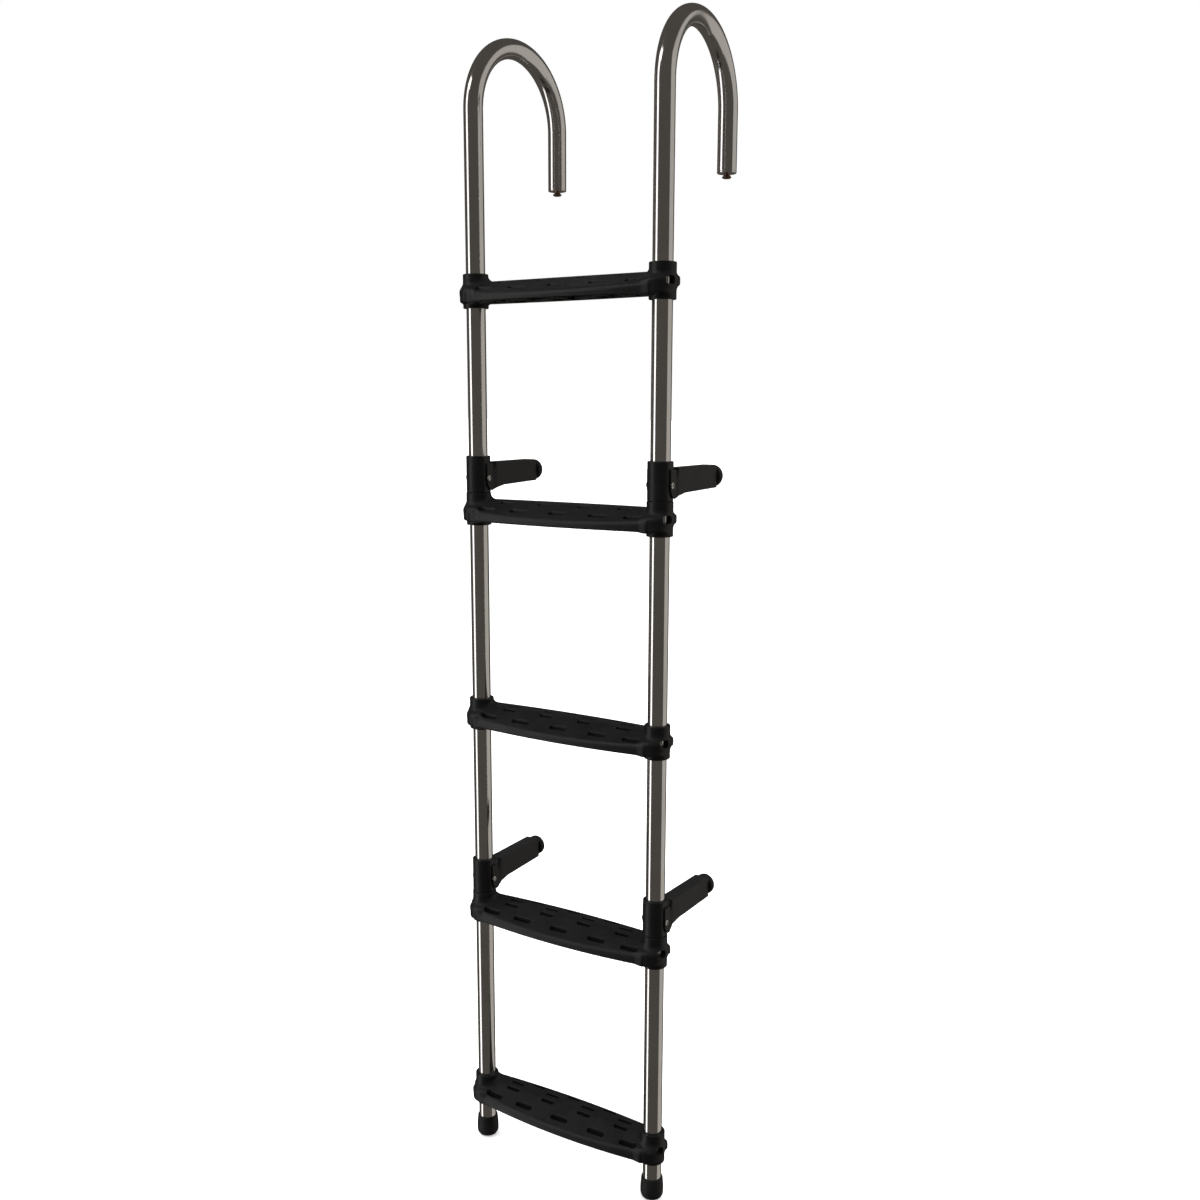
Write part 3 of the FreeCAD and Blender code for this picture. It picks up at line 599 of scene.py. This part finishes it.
tread_step = 0.7
tread_src = sdf_object("tread_src", tread_field, (-160.05, -38.05, -23.05), (160.05, 27.05, 23.05), tread_step)
for i in range(1, 6):
    z = TREAD_Z[i - 1]
    piece = copy_object(tread_src, "step_%d" % i, Matrix.Translation((0, BACK * MM, z * MM)))
    dress(piece, "black_plastic", "frame", "tread_%d" % i)
bpy.data.objects.remove(tread_src)


# ------------------------------------------------------------------ screws
def screw_head(name, radius, tall, drive, segments=48):
    """Domed head with a hexagon drive recess, looking up along +Z from z=0."""
    bm = bmesh.new()
    seg = segments
    outer = rounded([(radius, 0.0), (radius, tall * 0.35, tall * 0.3), (radius * 0.72, tall * 0.9, radius * 0.6),
                     (drive * 1.12, tall)], 5)
    rings = []
    for r, z in outer:
        rings.append([bm.verts.new((r * math.cos(2 * math.pi * k / seg), r * math.sin(2 * math.pi * k / seg), z))
                      for k in range(seg)])

    def hexr(a):
        b = (a + math.pi / 6) % (math.pi / 3) - math.pi / 6
        return drive * 0.92 / math.cos(b)
    for z, f in ((tall - 0.05, 1.0), (tall - 0.25, 0.96), (tall * 0.35, 0.94)):
        rings.append([bm.verts.new((f * hexr(2 * math.pi * k / seg) * math.cos(2 * math.pi * k / seg),
                                    f * hexr(2 * math.pi * k / seg) * math.sin(2 * math.pi * k / seg), z))
                      for k in range(seg)])
    for a, b in zip(rings[:-1], rings[1:]):
        for k in range(seg):
            n = (k + 1) % seg
            bm.faces.new((a[k], a[n], b[n], b[k]))
    c = bm.verts.new((0, 0, tall * 0.3))
    for k in range(seg):
        bm.faces.new((rings[-1][k], rings[-1][(k + 1) % seg], c))
    c0 = bm.verts.new((0, 0, 0))
    for k in range(seg):
        bm.faces.new((rings[0][(k + 1) % seg], rings[0][k], c0))
    bm.normal_update()
    mesh = bpy.data.meshes.new(name)
    bm.to_mesh(mesh)
    bm.free()
    mesh.polygons.foreach_set("use_smooth", [True] * len(mesh.polygons))
    mesh.transform(Matrix.Scale(MM, 4))
    obj = bpy.data.objects.new(name, mesh)
    bpy.context.scene.collection.objects.link(obj)
    return obj


def flat_smooth(obj, angle=35.0):
    """Sharp edges where the surface turns by more than this."""
    bm = bmesh.new()
    bm.from_mesh(obj.data)
    for e in bm.edges:
        if len(e.link_faces) == 2 and e.calc_face_angle(0.0) > math.radians(angle):
            e.smooth = False
    bm.to_mesh(obj.data)
    bm.free()


head_src = screw_head("head_src", 3.3, 1.7, 1.5)
flat_smooth(head_src)
copies = []
for i in range(1, 6):
    for side, sign in SIDES:
        az = math.radians(BOSS_TURN if sign > 0 else 180.0 - BOSS_TURN)
        turn = Matrix.Rotation(az, 4, "Z") @ Matrix.Rotation(math.pi / 2, 4, "Y")
        where = Matrix.Translation(((sign * HALF + 18.35 * math.cos(az)) * MM,
                                    (BACK + 18.35 * math.sin(az)) * MM, TREAD_Z[i - 1] * MM))
        copies.append(copy_object(head_src, "screw", where @ turn))
bpy.data.objects.remove(head_src)
dress(joined("step_screws", copies), "stainless_fastener", "frame", "tread_screws")


# --------------------------------------------------------------- stand-offs
def poly_field(points):
    """Signed distance to a closed 2-D polygon."""
    pts = np.array(points, dtype=float)
    nxt = np.roll(pts, -1, axis=0)

    def field(u, v):
        d = np.full(np.shape(u), 1e9)
        inside = np.zeros(np.shape(u), dtype=bool)
        for (ax_, ay), (bx, by) in zip(pts, nxt):
            ex, ey = bx - ax_, by - ay
            wx, wy = u - ax_, v - ay
            t = np.clip((wx * ex + wy * ey) / (ex * ex + ey * ey), 0, 1)
            d = np.minimum(d, (wx - ex * t) ** 2 + (wy - ey * t) ** 2)
            cross = (ay <= v) != (by <= v)
            with np.errstate(divide="ignore", invalid="ignore"):
                hit = u < ax_ + (v - ay) * ex / (ey if abs(ey) > 1e-12 else 1e-12)
            inside ^= cross & hit
        d = np.sqrt(d)
        return np.where(inside, -d, d)
    return field


ARM_TOP = 20.0
REACH = 127.0
PAD_Z = 5.2


def inset(points, r):
    """Polygon moved inwards by r, so that rounding gives back its size."""
    n = len(points)
    area = sum(points[i][0] * points[(i + 1) % n][1] - points[(i + 1) % n][0] * points[i][1] for i in range(n))
    s = 1.0 if area > 0 else -1.0
    lines = []
    for i in range(n):
        a, b = points[i], points[(i + 1) % n]
        dx, dy = b[0] - a[0], b[1] - a[1]
        ln = math.hypot(dx, dy)
        nx, ny = -dy / ln * s, dx / ln * s
        lines.append(((a[0] + nx * r, a[1] + ny * r), (dx, dy)))
    out = []
    for i in range(n):
        (p, d), (q, e) = lines[i - 1], lines[i]
        den = d[0] * e[1] - d[1] * e[0]
        if abs(den) < 1e-9:
            out.append(q)
            continue
        t = ((q[0] - p[0]) * e[1] - (q[1] - p[1]) * e[0]) / den
        out.append((p[0] + d[0] * t, p[1] + d[1] * t))
    return out


side_outline = [(-4.3, ARM_TOP), (-4.3, -6.0), (-2.4, -10.6), (2.2, -16.0), (8.7, -16.5), (27.0, -15.0),
                (47.0, -11.5), (REACH, -9.5), (REACH, ARM_TOP - 4.0), (REACH - 4.0, ARM_TOP)]
plan_outline = [(17.3, -8.0), (17.3, 8.7), (10.0, 29.0), (10.0, REACH + 5.0),
                (-10.0, REACH + 5.0), (-10.0, 29.0), (-17.3, 8.7), (-17.3, -8.0)]
side_f = poly_field(inset(side_outline, 1.5))
plan_f = poly_field(inset(plan_outline, 1.0))


def arm_field(X, Y, Z):
    side = side_f(Y, Z) - 1.5
    plan = plan_f(X, Y) - 1.0
    d = rmax(side, plan, 1.8)
    slot = np.maximum(np.abs(X) - 15.3, Y - 12.0)
    d = rmax(d, -slot, 0.3)
    for lift in (0, 8, 16, 24, 30):
        a = math.radians(lift)
        # sleeve and rail as seen from the arm when it is raised
        y = Y * math.cos(a) - Z * math.sin(a)
        z = Y * math.sin(a) + Z * math.cos(a)
        r = np.hypot(X, y)
        sleeve = np.maximum(r - 16.6, z - 30.0)
        rail = r - 13.3
        d = rmax(d, -np.minimum(sleeve, rail), 0.3)
    d = rmax(d, 2.55 - np.hypot(Y, Z), 0.3)
    return d


arm_step = 0.6
arm_src = sdf_object("arm_src", arm_field, (-18.55, -6.55, -17.95), (18.55, 129.05, 21.55), arm_step)


def sleeve_field(X, Y, Z):
    r = np.hypot(X, Y)
    d = rmax(r - 16.0, np.abs(Z - 5.0) - 24.0, 1.0)
    d = rmax(d, np.abs(X) - 15.0, 0.5)
    d = rmax(d, 12.55 - r, 0.4)
    d = rmax(d, 2.55 - np.hypot(Y, Z), 0.1)
    return d


sleeve_src = sdf_object("sleeve_src", sleeve_field, (-17.05, -17.05, -20.05), (17.05, 17.05, 30.05), 0.55)

pivot_src = screw_head("pivot_src", 4.0, 1.2, 1.7)
flat_smooth(pivot_src)

ROT_Y = Matrix.Rotation(-math.pi / 2, 4, "X")
for lev, i in LEVELS:
    for side, sign in SIDES:
        tag = lev + "_" + side
        zp = TREAD_Z[i - 1] + 21.5 + 0.2 + 19.0
        pose = Matrix.Translation((sign * HALF * MM, BACK * MM, zp * MM)) @ \
            Matrix.Rotation(math.radians(-sign * SPLAY), 4, "Z")
        dress(copy_object(sleeve_src, "clamp_sleeve_" + tag, pose), "black_plastic", "frame",
              "standoff_sleeve_" + tag)
        dress(copy_object(arm_src, "arm_" + tag, pose), "grey_black_plastic", "arm_" + tag,
              "standoff_arm_" + tag)
        pad = lathe("pad_" + tag, rounded([
            (0.0, 0.05), (14.0, 0.05, 0.9), (14.0, 2.2, 0.3), (13.6, 2.5, 0.2), (13.6, 3.0, 0.2), (14.0, 3.3, 0.3),
            (14.0, 8.5, 3.2), (11.0, 11.2, 6.0), (0.0, 12.05)], 7), 72,
            turn=ROT_Y, origin=(0, REACH, PAD_Z))
        pad.data.transform(pose)
        dress(pad, "black_rubber", "arm_" + tag, "bumper_pad_" + tag)
        pair = []
        for way in (-1, 1):
            put = Matrix.Translation((way * 17.45 * MM, 0, 0)) @ \
                Matrix.Rotation(way * math.pi / 2, 4, "Y")
            pair.append(copy_object(pivot_src, "pivot", pose @ put))
        dress(joined("pivots_" + tag, pair), "stainless_fastener", "frame", "pivot_screws_" + tag)
for o in (arm_src, sleeve_src, pivot_src):
    bpy.data.objects.remove(o)

# --------------------------------------------------------- hook ends and feet
END = BEND - LEG
for side, sign in SIDES:
    x = sign * HALF
    ox, oy = sign * (HALF - 2.0 * HOOK_R * math.sin(math.radians(TOE))), HOOK_R * math.cos(math.radians(TOE))
    plug = lathe("end_plug_" + side, rounded([
        (3.2, 2.0), (3.2, -2.5, 0.3), (12.5, -2.5, 0.9), (12.5, -0.1, 0.25), (10.9, -0.05), (10.9, 12.0), (3.2, 12.0)], 6),
        72, origin=(ox, oy, END))
    dress(plug, "stainless_tube", "frame", "hook_end_plug_" + side)
    stud = lathe("end_stud_" + side, rounded([
        (0.0, -8.1), (2.0, -8.3, 0.3), (2.6, -8.6, 0.3), (4.6, -8.6, 0.8), (6.0, -7.5, 0.4), (6.0, -6.5, 0.4), (4.4, -5.0, 1.2),
        (3.9, -3.9, 0.5), (4.1, -2.55), (3.1, -2.55), (3.1, 4.0), (0.0, 4.0)], 5),
        48, origin=(ox, oy, END))
    dress(stud, "bronze_stud", "frame", "hook_end_stud_" + side)
    foot = lathe("rubber_foot_" + side, rounded([
        (0.0, 0.0), (8.4, 0.0, 2.5), (13.1, 1.6, 3.0), (15.1, 5.2, 4.0), (15.5, 10.0, 8.0), (15.4, 17.0, 12.0),
        (14.7, 26.0, 6.0), (14.2, 29.4, 0.8), (13.6, 30.0, 0.3), (12.55, 30.0, 0.15), (12.55, 24.0)], 8),
        96, origin=(x, BACK, BASE))
    dress(foot, "black_rubber", "frame", "foot_" + side)

# ------------------------------------------------------------------- stage
floor_mesh = bpy.data.meshes.new("studio_floor")
size = 60.0
floor_mesh.from_pydata([(-size, -size, 0), (size, -size, 0), (size, size, 0), (-size, size, 0)], [], [(0, 1, 2, 3)])
floor = bpy.data.objects.new("studio_floor", floor_mesh)
bpy.context.scene.collection.objects.link(floor)
floor.location = (0, 0, BASE * MM - 0.0005)
fm, nt, bsdf = new_material("mat_floor")
bsdf.inputs["Base Color"].default_value = (0.93, 0.93, 0.93, 1)
bsdf.inputs["Roughness"].default_value = 0.9
bsdf.inputs["Emission Color"].default_value = (1.0, 1.0, 1.0, 1)
bsdf.inputs["Emission Strength"].default_value = 0.35
bsdf.inputs["Specular IOR Level"].default_value = 0.1
floor_mesh.materials.append(fm)
floor.visible_glossy = False
floor.visible_shadow = False
floor.visible_diffuse = False

# plain studio: an even dim surround behind the lights, white backdrop
world = bpy.data.worlds.new("studio")
bpy.context.scene.world = world
world.use_nodes = True
wt = world.node_tree
for n in list(wt.nodes):
    wt.nodes.remove(n)
w_out = wt.nodes.new("ShaderNodeOutputWorld")
bg = wt.nodes.new("ShaderNodeBackground")
bg.inputs["Color"].default_value = (1.0, 0.9, 0.8, 1)
bg.inputs["Strength"].default_value = 0.07
white = wt.nodes.new("ShaderNodeBackground")
white.inputs["Color"].default_value = (1, 1, 1, 1)
white.inputs["Strength"].default_value = 1.0
lp = wt.nodes.new("ShaderNodeLightPath")
ms = wt.nodes.new("ShaderNodeMixShader")
wt.links.new(lp.outputs["Is Camera Ray"], ms.inputs[0])
wt.links.new(bg.outputs[0], ms.inputs[1])
wt.links.new(white.outputs[0], ms.inputs[2])
wt.links.new(ms.outputs[0], w_out.inputs[0])


def area(name, loc, target, sx, sy, power, glossy=True, tint=(1.0, 1.0, 1.0)):
    data = bpy.data.lights.new(name, "AREA")
    data.shape = "RECTANGLE"
    data.size, data.size_y = sx, sy
    data.energy = power
    data.color = tint
    o = bpy.data.objects.new(name, data)
    bpy.context.scene.collection.objects.link(o)
    o.location = loc
    o.rotation_euler = (Vector(target) - Vector(loc)).to_track_quat("-Z", "Y").to_euler()
    o.visible_camera = False
    o.visible_glossy = glossy
    return o


area("softbox_top", (-0.5, -0.6, 2.4), (0, -0.1, -1.0), 1.6, 1.6, 60.0, glossy=False)
area("softbox_left", (-1.5, -1.5, -1.0), (0, 0, -1.0), 0.8, 5.4, 20.0)
area("softbox_right", (2.2, 1.5, -1.0), (0, 0, -1.0), 3.2, 5.4, 18.0, tint=(1.0, 0.95, 0.88))
area("softbox_high", (-1.2, -1.6, 1.6), (0, 0, 0), 0.9, 0.6, 3.5, tint=(1.0, 0.96, 0.9))

sun_data = bpy.data.lights.new("sky_soft", "SUN")
sun_data.energy = 4.2
sun_data.angle = math.radians(120.0)
sun = bpy.data.objects.new("sky_soft", sun_data)
bpy.context.scene.collection.objects.link(sun)
sun.location = (0, 0, 4)
sun.visible_glossy = False

# ------------------------------------------------------------------ camera
F, YAW, PITCH, ROLL = 1240.0, 32.578, 10.605, 0.041
CX, CY = 583.34, 633.27
eye = Vector((0.872784, -1.412206, -0.437626))
yw, pt, rl = math.radians(YAW), math.radians(PITCH), math.radians(ROLL)
right = Vector((math.cos(yw), math.sin(yw), 0))
fwd = Vector((-math.sin(yw) * math.cos(pt), math.cos(yw) * math.cos(pt), -math.sin(pt)))
upv = right.cross(fwd)
r2 = right * math.cos(rl) + upv * math.sin(rl)
u2 = upv * math.cos(rl) - right * math.sin(rl)
cam_data = bpy.data.cameras.new("camera")
cam = bpy.data.objects.new("camera", cam_data)
bpy.context.scene.collection.objects.link(cam)
m = Matrix.Identity(4)
for row in range(3):
    m[row][0], m[row][1], m[row][2], m[row][3] = r2[row], u2[row], -fwd[row], eye[row]
cam.matrix_world = m
cam_data.sensor_width = 36.0
cam_data.lens = 36.0 * F / 1200.0
cam_data.shift_x = (600.0 - CX) / 1200.0
cam_data.shift_y = (CY - 600.0) / 1200.0
cam_data.clip_start, cam_data.clip_end = 0.02, 200.0
bpy.context.scene.camera = cam
bpy.context.scene.view_settings.view_transform = "Standard"
